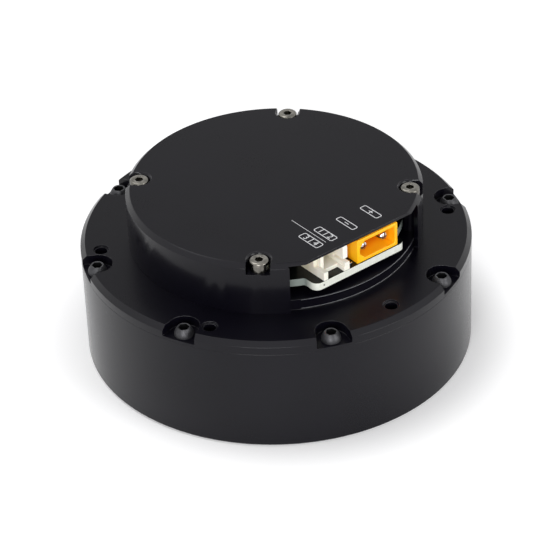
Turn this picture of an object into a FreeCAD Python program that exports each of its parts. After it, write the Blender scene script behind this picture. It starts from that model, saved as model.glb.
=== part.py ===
# Robot joint actuator: an outrunner motor with a planetary stage nested inside its stator.
# Millimetres. Z = 0 is the output face it stands on, +Z points at the electronics cap,
# and the connectors face -Y. Every length that can be set by itself is in `driving`.
import FreeCAD, Part
import math
import os
import Sketcher
from FreeCAD import Placement, Rotation, Vector

driving = {
    # housing and rear plate
    "housing_radius": 39.0,
    "shell_height": 21.75,
    "front_chamfer": 0.5,
    "front_wall": 5.0,
    "rim_wall": 6.0,
    "lip_width": 1.05,
    "lip_depth": 1.3,
    "sleeve_wall": 1.5,
    "seat_wall": 1.1,
    "register_wall": 0.4,
    "register_height": 0.4,
    "fit_gap": 0.04,
    "plate_thickness": 2.58,
    "plate_chamfer": 0.95,
    "plate_recess": 0.45,
    "boss_height": 2.27,
    "boss_wall": 4.0,
    "boss_gap": 0.05,
    "boss_floor": 0.87,
    "collar_radius": 11.5,
    # rim screws, mounting holes and cap screws
    "rim_inset": 2.4,
    "rim_screw_count": 8,
    "rim_pocket_radius": 3.1,
    "rim_pocket_mouth": 3.7,
    "rim_pocket_depth": 2.03,
    "rim_head_radius": 1.9,
    "rim_head_height": 1.75,
    "screw_radius": 1.0,
    "screw_clearance": 0.15,
    "rim_screw_length": 7.0,
    "mount_inset": 4.0,
    "mount_count": 6,
    "mount_hole_radius": 1.25,
    "mount_countersink": 0.35,
    "mount_relief": 0.2,
    "mount_relief_depth": 4.2,
    "front_inset": 3.0,
    "front_hole_radius": 1.65,
    "front_hole_depth": 7.0,
    "front_hole_count": 4,
    "cap_inset": 2.5,
    "cap_screw_count": 4,
    "cap_pocket_radius": 2.5,
    "cap_pocket_mouth": 2.25,
    "cap_pocket_depth": 2.2,
    "cap_head_radius": 1.88,
    "cap_head_height": 2.1,
    "cap_screw_reach": 2.8,
    "thread_spare": 0.3,
    "rim_hex": 1.5,
    "cap_hex": 1.5,
    "carrier_hex": 2.5,
    "hex_depth_share": 0.55,
    # electronics cap
    "cap_radius": 29.35,
    "cap_height": 11.1,
    "cap_wall": 1.0,
    "cap_top": 1.2,
    "cap_chamfer": 0.9,
    "cap_post_radius": 2.45,
    "chord_inset": 3.45,
    "window_half": 16.1,
    "window_cut": 2.9,
    "port_relief_gap": 0.4,
    "lid_over_ports": 0.6,
    # control board and connectors
    "board_rise": 1.3,
    "board_thickness": 1.6,
    "board_inset": 3.7,
    "board_reach": 0.45,
    "tab_half": 11.3,
    "board_corner": 1.5,
    "board_notch": 2.75,
    "pillar_inset": 5.65,
    "pillar_count": 3,
    "pillar_radius": 2.3,
    "board_screw_head": 1.9,
    "board_screw_head_height": 1.3,
    "pillar_floor": 1.0,
    "board_screw_spare": 0.5,
    "power_width": 10.2,
    "power_height": 5.2,
    "power_length": 9.6,
    "power_centre": 4.35,
    "power_wall": 0.75,
    "power_cavity": 6.2,
    "power_pitch": 5.0,
    "power_pin_radius": 1.0,
    "power_pin_setback": 1.2,
    "power_setback": 0.16,
    "header_width": 6.4,
    "header_height": 5.2,
    "header_length": 8.2,
    "header_centre": -6.05,
    "header_floor": 0.9,
    "header_left_wall": 1.65,
    "header_right_wall": 1.15,
    "header_back_wall": 1.6,
    "foot_reach": 2.0,
    "foot_height": 1.75,
    "left_foot": 1.05,
    "right_foot": 1.45,
    "ledge_width": 0.85,
    "ledge_length": 1.1,
    "wing_reach": 1.4,
    "wing_rounding": 0.6,
    "wing_slot": 0.6,
    "wing_slot_length": 3.6,
    "signal_pitch": 1.25,
    "signal_pin": 0.5,
    "signal_rise": 1.1,
    "signal_setback": 4.2,
    # output bearing, flange and carrier
    "race_depth": 5.0,
    "race_width": 5.0,
    "roller_size": 1.8,
    "roller_clearance": 0.04,
    "race_gap": 0.15,
    "roller_count": 24,
    "flange_recess": 0.3,
    "flange_lip": 0.25,
    "flange_gap": 0.3,
    "centre_bore": 6.0,
    "centre_bore_depth": 3.0,
    "output_inset": 3.0,
    "output_hole_radius": 1.25,
    "output_hole_depth": 4.6,
    "carrier_inset": 1.3,
    "carrier_base": 1.3,
    "carrier_plate_thickness": 3.8,
    "carrier_screw_inset": 3.9,
    "carrier_screw_radius": 1.5,
    "carrier_head_radius": 2.6,
    "carrier_head_height": 1.8,
    "carrier_thread": 3.2,
    "carrier_bore": 5.4,
    "planet_room": 0.4,
    # gears
    "gear_module": 0.6,
    "sun_teeth": 12,
    "planet_teeth": 24,
    "planet_count": 3,
    "backlash": 0.05,
    "gear_side_gap": 0.3,
    "ring_gear_rim": 2.0,
    "ring_gear_overlap": 0.4,
    "pin_radius": 2.0,
    "bush_wall": 0.6,
    "bush_gap": 0.03,
    "washer_radius": 3.4,
    "washer_gap": 0.02,
    # motor
    "stator_base": 7.4,
    "slot_count": 24,
    "yoke_share": 0.325,
    "tooth_width": 3.4,
    "tip_thickness": 0.9,
    "slot_opening": 1.2,
    "coil_inset": 0.4,
    "coil_thickness": 1.2,
    "coil_overhang": 2.0,
    "coil_web_gap": 0.6,
    "coil_lining": 0.15,
    "coil_corner": 1.2,
    "air_gap": 0.35,
    "magnet_count": 28,
    "magnet_thickness": 1.2,
    "magnet_width": 5.8,
    "magnet_glue": 0.15,
    "magnet_overlap": 0.5,
    "rotor_gap": 0.5,
    "ring_wall": 1.0,
    "ring_overlap": 1.1,
    "web_gap": 0.7,
    "hub_gap": 2.2,
    "web_thickness": 1.5,
    "web_window_radius": 4.4,
    "web_window_inset": 13.5,
    "web_window_count": 6,
    # rotor shaft and bearings
    "shaft_radius": 4.0,
    "shaft_collar": 0.5,
    "front_bearing_radius": 6.0,
    "front_bearing_width": 3.5,
    "front_bearing_lip": 0.3,
    "rear_bearing_radius": 9.0,
    "rear_bearing_width": 4.0,
    "journal_radius": 6.0,
    "spacer_wall": 0.85,
    "spacer_height": 0.7,
    "bearing_wall": 0.75,
    "bearing_lip": 1.2,
    "bearing_shield": 0.3,
    "shield_gap": 0.12,
    "encoder_radius": 3.0,
    "encoder_thickness": 2.3,
    "encoder_rise": 0.1,
    "encoder_gap": 0.5,
    "encoder_chip_height": 0.9,
    "encoder_chip_size": 4.0,
    # phase leads
    "lead_width": 1.5,
    "lead_thickness": 0.7,
    "lead_pitch": 2.2,
    "channel_width": 7.4,
    "channel_depth": 1.0,
    "channel_reach": 2.2,
    "lead_gap": 0.2,
    "lead_start": 1.2,
    "lead_slot_width": 1.8,
    "lead_slot_gap": 0.1,
    "tunnel_height": 1.9,
}


class Size:
    """A length that carries its value and the spreadsheet expression it comes from."""

    def __init__(self, value, text):
        self.value = float(value)
        self.text = text

    def join(self, other, sign, value):
        return Size(value, "(%s %s %s)" % (self.text, sign, written(other)))

    def __add__(self, other):
        return self.join(other, "+", self.value + amount(other))

    def __sub__(self, other):
        return self.join(other, "-", self.value - amount(other))

    def __mul__(self, other):
        return self.join(other, "*", self.value * amount(other))

    def __truediv__(self, other):
        return self.join(other, "/", self.value / amount(other))

    def __radd__(self, other):
        return Size(other, written(other)) + self

    def __rsub__(self, other):
        return Size(other, written(other)) - self

    def __rmul__(self, other):
        return self * other

    def __rtruediv__(self, other):
        return Size(other, written(other)) / self

    def __neg__(self):
        return self * -1


def amount(size):
    return size.value if isinstance(size, Size) else float(size)


def written(size):
    return size.text if isinstance(size, Size) else "%.9g" % size


doc = FreeCAD.newDocument("JointActuator")
sheet = doc.addObject("Spreadsheet::Sheet", "Sizes")


class Sizes:
    """The driving sizes, each bound to its spreadsheet cell."""


d = Sizes()
for row, (alias, number) in enumerate(driving.items(), start=1):
    sheet.set("A%d" % row, alias.replace("_", " "))
    sheet.set("B%d" % row, str(number))
    sheet.setAlias("B%d" % row, alias)
    setattr(d, alias, Size(number, "Sizes." + alias))
doc.recompute()

# ---- levels and radii that follow from the driving sizes
flange_top = d.shell_height + d.plate_thickness
boss_top = flange_top + d.boss_height
boss_floor = flange_top + d.boss_floor
recess_top = d.shell_height + d.plate_recess
cap_top = flange_top + d.cap_height
lid_under = cap_top - d.cap_top
board_bottom = boss_top + d.board_rise
board_top = board_bottom + d.board_thickness

ring_teeth = d.sun_teeth + d.planet_teeth * 2
ring_pitch_radius = ring_teeth * d.gear_module / 2
ring_gear_radius = ring_pitch_radius + d.ring_gear_rim
planet_circle = (d.sun_teeth + d.planet_teeth) * d.gear_module / 2
carrier_radius = ring_pitch_radius - d.carrier_inset
carrier_screw_circle = carrier_radius - d.carrier_screw_inset
sleeve_radius = ring_gear_radius + d.sleeve_wall
lip_radius = ring_gear_radius - d.lip_width
race_inner = ring_gear_radius - d.race_depth
race_centre = ring_gear_radius - d.race_depth / 2
output_circle = race_inner - d.output_inset

bore_radius = d.housing_radius - d.rim_wall
rim_circle = d.housing_radius - d.rim_inset
mount_circle = d.housing_radius - d.mount_inset
channel_radius = bore_radius + d.channel_reach
cap_circle = d.cap_radius - d.cap_inset
cap_chord = d.cap_radius - d.chord_inset
window_depth = cap_chord - d.window_cut
boss_radius = d.cap_radius - d.cap_wall - d.boss_gap
boss_inner = boss_radius - d.boss_wall
board_radius = d.cap_radius - d.board_inset
board_front = cap_chord + d.board_reach
pillar_circle = board_radius - d.pillar_inset
lead_slot_outer = boss_inner - d.lead_slot_gap
lead_slot_inner = lead_slot_outer - d.lead_slot_width

ring_radius = bore_radius - d.rotor_gap
magnet_outer = ring_radius - d.ring_wall - d.magnet_glue
magnet_inner = magnet_outer - d.magnet_thickness
stator_radius = magnet_inner - d.air_gap
slot_bottom = sleeve_radius + (stator_radius - sleeve_radius) * d.yoke_share
tooth_neck = stator_radius - d.tip_thickness
coil_start = slot_bottom + d.coil_inset
coil_end = tooth_neck - d.coil_inset
web_window_circle = ring_radius - d.web_window_inset
ring_bottom = d.stator_base - d.ring_overlap

web_top = recess_top - d.web_gap
web_bottom = web_top - d.web_thickness
stator_top = web_bottom - d.coil_web_gap - d.coil_overhang
stator_length = stator_top - d.stator_base
race_top = d.lip_depth + d.race_width
race_middle = d.lip_depth + d.race_width / 2
base_top = race_top + d.carrier_base
gear_bottom = base_top + d.gear_side_gap
plate_top = web_bottom - d.hub_gap
carrier_top = plate_top - d.carrier_plate_thickness
gear_top = carrier_top - d.gear_side_gap
gear_width = gear_top - gear_bottom
rear_bearing_bottom = recess_top
rear_bearing_top = rear_bearing_bottom + d.rear_bearing_width
front_bearing_bottom = carrier_top + d.front_bearing_lip
front_bearing_top = front_bearing_bottom + d.front_bearing_width
shaft_top = rear_bearing_top + d.encoder_gap / 2
magnet_bottom = shaft_top - d.encoder_thickness + d.encoder_rise

# directions of the first screw or hole on each circle, in degrees
rim_turn = 22.5
mount_turn = 30.0
front_turn = 45.0
cap_turn = 45.0
planet_turn = 90.0
carrier_screw_turn = 30.0

# height of the planets' teeth over the pitch circle, in modules
planet_tip = 0.8


# ---- document helpers
def new_body(label):
    body = doc.addObject("PartDesign::Body", label)
    body.Label = label
    return body


def origin_item(body, role):
    return [item for item in body.Origin.OriginFeatures if item.Role == role][0]


def bind(thing, path, size):
    if isinstance(size, Size):
        thing.setExpression(path, size.text)
    else:
        setattr(thing, path, size)


def new_sketch(body, name, plane, offset=None):
    sketch = body.newObject("Sketcher::SketchObject", name)
    sketch.AttachmentSupport = (origin_item(body, plane), "")
    sketch.MapMode = "FlatFace"
    if offset is not None:
        sketch.setExpression("AttachmentOffset.Base.z", offset.text)
    return sketch


def constrain(sketch, kind, places, size):
    index = sketch.addConstraint(Sketcher.Constraint(kind, *places, amount(size)))
    if isinstance(size, Size):
        sketch.setExpression("Constraints[%d]" % index, size.text)


def fix_point(sketch, geometry, point, x, y):
    for kind, axis, size in (("DistanceX", -2, x), ("DistanceY", -1, y)):
        if abs(amount(size)) < 1e-9:
            sketch.addConstraint(Sketcher.Constraint("PointOnObject", geometry, point, axis))
        elif amount(size) < 0:
            constrain(sketch, kind, (geometry, point, -1, 1), size * -1)
        else:
            constrain(sketch, kind, (-1, 1, geometry, point), size)


def draw_circle(sketch, x, y, radius):
    centre = Vector(amount(x), amount(y), 0)
    circle = sketch.addGeometry(Part.Circle(centre, Vector(0, 0, 1), amount(radius)))
    fix_point(sketch, circle, 3, x, y)
    constrain(sketch, "Radius", (circle,), radius)


def draw_outline(sketch, points):
    corners = [Vector(amount(x), amount(y), 0) for x, y in points]
    lines = [
        sketch.addGeometry(Part.LineSegment(start, corners[(i + 1) % len(corners)]))
        for i, start in enumerate(corners)
    ]
    for i, line in enumerate(lines):
        following = lines[(i + 1) % len(lines)]
        sketch.addConstraint(Sketcher.Constraint("Coincident", line, 2, following, 1))
    for line, (x, y) in zip(lines, points):
        fix_point(sketch, line, 1, x, y)


def turned(body, name, points):
    """A solid of revolution about Z, from (radius, height) corners."""
    sketch = new_sketch(body, name + "_profile", "XZ_Plane")
    draw_outline(sketch, points)
    feature = body.newObject("PartDesign::Revolution", name)
    feature.Profile = sketch
    feature.ReferenceAxis = (sketch, ["V_Axis"])
    feature.Angle = 360
    return feature


def grown(body, name, sketch, length, kind="PartDesign::Pad", upward=True):
    feature = body.newObject(kind, name)
    feature.Profile = sketch
    bind(feature, "Length", length)
    points_down = kind == "PartDesign::Pocket"
    feature.Reversed = points_down == upward
    return feature


def pad_circle(body, name, x, y, radius, bottom, height):
    sketch = new_sketch(body, name + "_profile", "XY_Plane", bottom)
    draw_circle(sketch, x, y, radius)
    return grown(body, name, sketch, height)


def pad_outline(body, name, points, bottom, height):
    sketch = new_sketch(body, name + "_profile", "XY_Plane", bottom)
    draw_outline(sketch, points)
    return grown(body, name, sketch, height)


def drill(body, name, x, y, radius, start, depth, upward=False):
    sketch = new_sketch(body, name + "_profile", "XY_Plane", start)
    draw_circle(sketch, x, y, radius)
    return grown(body, name, sketch, depth, "PartDesign::Pocket", upward)


def mill(body, name, points, start, depth, upward=False):
    sketch = new_sketch(body, name + "_profile", "XY_Plane", start)
    draw_outline(sketch, points)
    return grown(body, name, sketch, depth, "PartDesign::Pocket", upward)


def repeat(body, name, features, count):
    pattern = body.newObject("PartDesign::PolarPattern", name)
    pattern.Originals = features
    pattern.Axis = (origin_item(body, "Z_Axis"), [""])
    pattern.Angle = 360
    bind(pattern, "Occurrences", count)
    body.Tip = pattern
    return pattern


def turn_part(part, degrees):
    part.Placement = Placement(Vector(), Rotation(Vector(0, 0, 1), degrees))


def at_angle(radius, degrees):
    """X and Y of a point on a circle about Z."""
    return radius * math.cos(math.radians(degrees)), radius * math.sin(math.radians(degrees))


def box_corners(left, right, front, back):
    return [(left, front), (right, front), (right, back), (left, back)]


def hexagon(x, across):
    corner = across / math.sqrt(3)
    return [(x + at_angle(corner, 60 * i)[0], at_angle(corner, 60 * i)[1]) for i in range(6)]


def plain_part(label, shape):
    """A piece whose form no sketch feature gives: gear teeth, tilted rollers and bent strips."""
    part = doc.addObject("Part::Feature", label)
    part.Label = label
    part.Shape = shape
    return part


# ---- screws
def socket_screws(label, circle, count, turn, top, head, height, shank, length, across):
    """Socket-head screws on a circle, heads up, all in one node."""
    body = new_body(label)
    body_solid = pad_circle(body, label + "_head", circle, 0, head, top - height, height)
    thread = pad_circle(body, label + "_shank", circle, 0, shank, top - height - length, length)
    socket = mill(body, label + "_socket", hexagon(circle, across), top,
                  height * d.hex_depth_share)
    repeat(body, label + "_all", [body_solid, thread, socket], count)
    turn_part(body, turn)


def open_pocket(body, name, circle, radius, mouth, reach, top, depth):
    """A round counterbore whose side runs out through the rim, a little wider outside."""
    bore = drill(body, name + "_bore", circle, 0, radius, top, depth)
    corners = [(circle, -radius), (reach, -mouth), (reach, mouth), (circle, radius)]
    side = mill(body, name + "_mouth", corners, top, depth)
    return [bore, side]


def turn_sketches(features, degrees):
    """Turns the features' sketches about Z, so that a pattern of them starts at that angle."""
    for feature in features:
        sketch = feature.Profile[0]
        sketch.setExpression("AttachmentOffset.Rotation.Angle", "%g" % degrees)
        sketch.AttachmentOffset.Rotation.Axis = Vector(0, 0, 1)


# ---- housing
def make_front_housing():
    body = new_body("front_housing")
    register_radius = bore_radius + d.register_wall
    register_top = d.shell_height + d.register_height
    seat_radius = sleeve_radius + d.seat_wall
    turned(body, "housing_shell", [
        (lip_radius, 0),
        (d.housing_radius - d.front_chamfer, 0),
        (d.housing_radius, d.front_chamfer),
        (d.housing_radius, d.shell_height),
        (register_radius, d.shell_height),
        (register_radius, register_top),
        (bore_radius, register_top),
        (bore_radius, d.front_wall),
        (seat_radius, d.front_wall),
        (seat_radius, d.stator_base),
        (sleeve_radius, d.stator_base),
        (sleeve_radius, stator_top),
        (ring_gear_radius, stator_top),
        (ring_gear_radius, d.lip_depth),
        (lip_radius, d.lip_depth),
    ])
    x, y = at_angle(d.housing_radius - d.front_inset, front_turn)
    front_hole = drill(body, "front_hole", x, y, d.front_hole_radius, None, d.front_hole_depth,
                       upward=True)
    repeat(body, "front_holes", [front_hole], d.front_hole_count)
    x, y = at_angle(mount_circle, mount_turn)
    relief = drill(body, "screw_relief", x, y, d.mount_hole_radius + d.mount_relief,
                   register_top, d.mount_relief_depth)
    repeat(body, "screw_reliefs", [relief], d.mount_count)
    x, y = at_angle(rim_circle, rim_turn)
    thread = drill(body, "rim_thread", x, y, d.screw_radius + d.fit_gap / 2,
                   d.shell_height, d.rim_screw_length)
    repeat(body, "rim_threads", [thread], d.rim_screw_count)
    half = d.channel_width / 2
    channel = box_corners(-channel_radius, -(seat_radius + d.channel_depth), -half, half)
    mill(body, "lead_channel", channel, d.front_wall - d.channel_depth,
         register_top - d.front_wall + d.channel_depth, upward=True)


def make_rear_plate():
    body = new_body("rear_plate")
    recess_radius = bore_radius + d.register_wall + d.fit_gap
    bearing_lip = d.rear_bearing_radius - d.bearing_lip
    turned(body, "plate_disc", [
        (d.rear_bearing_radius, recess_top),
        (recess_radius, recess_top),
        (recess_radius, d.shell_height),
        (d.housing_radius, d.shell_height),
        (d.housing_radius, flange_top - d.plate_chamfer),
        (d.housing_radius - d.plate_chamfer, flange_top),
        (boss_radius, flange_top),
        (boss_radius, boss_top),
        (boss_inner, boss_top),
        (boss_inner, boss_floor),
        (d.collar_radius, boss_floor),
        (d.collar_radius, boss_top),
        (bearing_lip, boss_top),
        (bearing_lip, rear_bearing_top),
        (d.rear_bearing_radius, rear_bearing_top),
    ])
    x, y = at_angle(pillar_circle, planet_turn)
    pillar = pad_circle(body, "board_pillar", x, y, d.pillar_radius, boss_floor,
                        board_bottom - boss_floor)
    pillar_thread = drill(body, "pillar_thread", x, y, d.screw_radius + d.fit_gap / 2,
                          board_bottom, board_bottom - recess_top - d.pillar_floor)
    repeat(body, "board_pillars", [pillar, pillar_thread], d.pillar_count)
    x, y = at_angle(cap_circle, cap_turn)
    thread = drill(body, "cap_thread", x, y, d.screw_radius + d.fit_gap / 2, boss_top,
                   d.cap_screw_reach + d.thread_spare)
    repeat(body, "cap_threads", [thread], d.cap_screw_count)
    x, y = at_angle(mount_circle, mount_turn)
    hole = drill(body, "mount_hole", x, y, d.mount_hole_radius, flange_top, d.plate_thickness)
    lead_in = drill(body, "mount_lead_in", x, y, d.mount_hole_radius + d.mount_countersink,
                    flange_top, d.mount_countersink)
    repeat(body, "mount_holes", [hole, lead_in], d.mount_count)
    pocket = open_pocket(body, "rim_pocket", rim_circle, d.rim_pocket_radius, d.rim_pocket_mouth,
                         d.housing_radius + 1, flange_top, d.rim_pocket_depth)
    clearance = drill(body, "rim_clearance", rim_circle, 0, d.screw_radius + d.screw_clearance,
                      flange_top, d.plate_thickness)
    turn_sketches(pocket + [clearance], rim_turn)
    repeat(body, "rim_pockets", pocket + [clearance], d.rim_screw_count)
    half = d.channel_width / 2
    tunnel = box_corners(-channel_radius, -lead_slot_inner, -half, half)
    mill(body, "lead_tunnel", tunnel, d.shell_height, d.tunnel_height, upward=True)
    slot = box_corners(-lead_slot_outer, -lead_slot_inner, -half, half)
    mill(body, "lead_slot", slot, d.shell_height, boss_top - d.shell_height, upward=True)


def make_electronics_cap():
    body = new_body("electronics_cap")
    cap_inner = d.cap_radius - d.cap_wall
    turned(body, "cap_shell", [
        (0, lid_under),
        (cap_inner, lid_under),
        (cap_inner, flange_top),
        (d.cap_radius, flange_top),
        (d.cap_radius, cap_top - d.cap_chamfer),
        (d.cap_radius - d.cap_chamfer, cap_top),
        (0, cap_top),
    ])
    x, y = at_angle(cap_circle, cap_turn)
    post = pad_circle(body, "cap_post", x, y, d.cap_post_radius, boss_top, lid_under - boss_top)
    repeat(body, "cap_posts", [post], d.cap_screw_count)
    pocket = open_pocket(body, "cap_pocket", cap_circle, d.cap_pocket_radius, d.cap_pocket_mouth,
                         d.cap_radius + 1, cap_top, d.cap_pocket_depth)
    hole = drill(body, "cap_hole", cap_circle, 0, d.screw_radius + d.screw_clearance, cap_top,
                 cap_top - boss_top)
    turn_sketches(pocket + [hole], cap_turn)
    repeat(body, "cap_pockets", pocket + [hole], d.cap_screw_count)
    reach = d.cap_radius + 1
    chord = box_corners(-d.window_half, d.window_half, -reach, -cap_chord)
    mill(body, "cap_chord", chord, cap_top, d.cap_top)
    window = box_corners(-d.window_half, d.window_half, -reach, -window_depth)
    mill(body, "port_window", window, cap_top - d.lid_over_ports, d.cap_height - d.lid_over_ports)
    ports_back = board_front - d.power_length - d.port_relief_gap
    relief = box_corners(-d.tab_half, d.tab_half, -cap_chord, -ports_back)
    mill(body, "port_relief", relief, cap_top - d.lid_over_ports, d.cap_top)


# ---- involute gears
def involute(angle):
    return math.tan(angle) - angle


def gear_wire(teeth, module, tip_factor, root_factor, slack):
    """The outline of a gear with a tooth centred on +X; slack is added to each tooth's width."""
    pitch = teeth * module / 2
    pressure = math.radians(20)
    base = pitch * math.cos(pressure)
    tip = pitch + module * tip_factor
    root = pitch - module * root_factor
    half_tooth = math.pi / (2 * teeth) + slack / (2 * pitch)

    def flank(radius, centre, side):
        turn = half_tooth + involute(pressure)
        if radius > base:
            turn -= involute(math.acos(base / radius))
        angle = centre + side * turn
        return Vector(radius * math.cos(angle), radius * math.sin(angle), 0)

    start = max(base, root) + 1e-4
    edges = []
    for tooth in range(teeth):
        centre = 2 * math.pi * tooth / teeth
        after = centre + 2 * math.pi / teeth
        rising = [flank(start + (tip - start) * share, centre, -1) for share in (0, 0.5, 1)]
        falling = [flank(start + (tip - start) * share, centre, 1) for share in (1, 0.5, 0)]
        edges.append(Part.Arc(*rising).toShape())
        edges.append(Part.makeLine(rising[2], falling[0]))
        edges.append(Part.Arc(*falling).toShape())
        foot = falling[2] * (root / start) if root < base else falling[2]
        next_start = flank(start, after, -1)
        next_foot = next_start * (root / start) if root < base else next_start
        if root < base:
            edges.append(Part.makeLine(falling[2], foot))
        edges.append(Part.makeLine(foot, next_foot))
        if root < base:
            edges.append(Part.makeLine(next_foot, next_start))
    return Part.Wire(edges)


def prism(wire, bottom, height):
    wire.translate(Vector(0, 0, bottom))
    return Part.Face(wire).extrude(Vector(0, 0, height))


def rod(radius, bottom, height, x=0.0, y=0.0):
    return Part.makeCylinder(radius, height, Vector(x, y, bottom))


def make_gears():
    module = d.gear_module.value
    bottom = gear_bottom.value
    width = gear_width.value
    slack = -d.backlash.value
    ring_bottom = race_top.value
    ring_width = (carrier_top + d.ring_gear_overlap - race_top).value

    # the ring's tooth spaces are the teeth of an external outline, turned half a pitch
    teeth = int(ring_teeth.value)
    spaces = gear_wire(teeth, module, 1.25, 0.9, -slack)
    spaces.rotate(Vector(), Vector(0, 0, 1), 180.0 / teeth)
    ring = rod(ring_gear_radius.value, ring_bottom, ring_width)
    plain_part("ring_gear", ring.cut(prism(spaces, ring_bottom, ring_width)))

    sun = prism(gear_wire(int(d.sun_teeth.value), module, 1.0, 1.25, slack), bottom, width)
    shoulder = carrier_top.value
    shaft = rod(d.shaft_radius.value, bottom + width, shaft_top.value - bottom - width)
    neck = rod(d.shaft_radius.value + d.shaft_collar.value, shoulder, d.front_bearing_lip.value)
    seat = rod(d.encoder_radius.value, magnet_bottom.value, d.encoder_thickness.value)
    plain_part("sun_gear", sun.fuse([shaft, neck]).removeSplitter().cut(seat))

    teeth = int(d.planet_teeth.value)
    bush_radius = d.pin_radius.value + d.bush_wall.value
    blank = prism(gear_wire(teeth, module, planet_tip, 1.25, slack), bottom, width)
    planet = blank.cut(rod(bush_radius, bottom, width))
    bush = rod(bush_radius, bottom, width).cut(
        rod(d.pin_radius.value + d.bush_gap.value, bottom, width))
    count = int(d.planet_count.value)
    for number in range(count):
        direction = planet_turn + number * 360.0 / count
        spot = Placement(Vector(*at_angle(planet_circle.value, direction), 0),
                         Rotation(Vector(0, 0, 1), direction + 180.0 / teeth))
        plain_part("planet_gear_%d" % (number + 1), planet).Placement = spot
        plain_part("planet_bush_%d" % (number + 1), bush).Placement = spot


# ---- output bearing and carrier
def make_output_bearing():
    groove = d.roller_size / math.sqrt(2)
    outer_edge = race_centre + d.race_gap
    inner_edge = race_centre - d.race_gap
    slope_start = groove - d.race_gap
    outer = new_body("outer_race")
    turned(outer, "outer_race_ring", [
        (outer_edge, d.lip_depth),
        (ring_gear_radius, d.lip_depth),
        (ring_gear_radius, race_top),
        (outer_edge, race_top),
        (outer_edge, race_middle + slope_start),
        (race_centre + groove, race_middle),
        (outer_edge, race_middle - slope_start),
    ])
    inner = new_body("inner_race")
    turned(inner, "inner_race_ring", [
        (race_inner, d.lip_depth),
        (inner_edge, d.lip_depth),
        (inner_edge, race_middle - slope_start),
        (race_centre - groove, race_middle),
        (inner_edge, race_middle + slope_start),
        (inner_edge, race_top),
        (race_inner, race_top),
    ])
    radius = (d.roller_size.value - d.roller_clearance.value) / 2
    length = d.roller_size.value - 3 * d.roller_clearance.value
    rollers = []
    for number in range(int(d.roller_count.value)):
        lean = 45 if number % 2 == 0 else 135
        roller = Part.makeCylinder(radius, length, Vector(0, 0, -length / 2))
        roller.rotate(Vector(), Vector(0, 1, 0), lean)
        roller.translate(Vector(race_centre.value, 0, race_middle.value))
        roller.rotate(Vector(), Vector(0, 0, 1), number * 360.0 / d.roller_count.value)
        rollers.append(roller)
    plain_part("crossed_rollers", Part.makeCompound(rollers))


def make_output_flange():
    body = new_body("output_flange")
    rim = lip_radius - d.flange_gap
    clamp = race_centre - d.race_gap
    turned(body, "flange_disc", [
        (0, d.flange_recess),
        (rim, d.flange_recess),
        (rim, d.lip_depth - d.flange_lip),
        (clamp, d.lip_depth - d.flange_lip),
        (clamp, d.lip_depth),
        (race_inner, d.lip_depth),
        (race_inner, race_top),
        (0, race_top),
    ])
    drill(body, "centre_bore", 0, 0, d.centre_bore, d.flange_recess, d.centre_bore_depth,
          upward=True)
    hole = drill(body, "output_hole", output_circle, 0, d.output_hole_radius, d.flange_recess,
                 d.output_hole_depth, upward=True)
    repeat(body, "output_holes", [hole], 6)
    x, y = at_angle(carrier_screw_circle, carrier_screw_turn)
    thread = drill(body, "carrier_thread", x, y, d.carrier_screw_radius + d.fit_gap / 2, race_top,
                   d.carrier_thread)
    repeat(body, "carrier_threads", [thread], d.planet_count)


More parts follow.
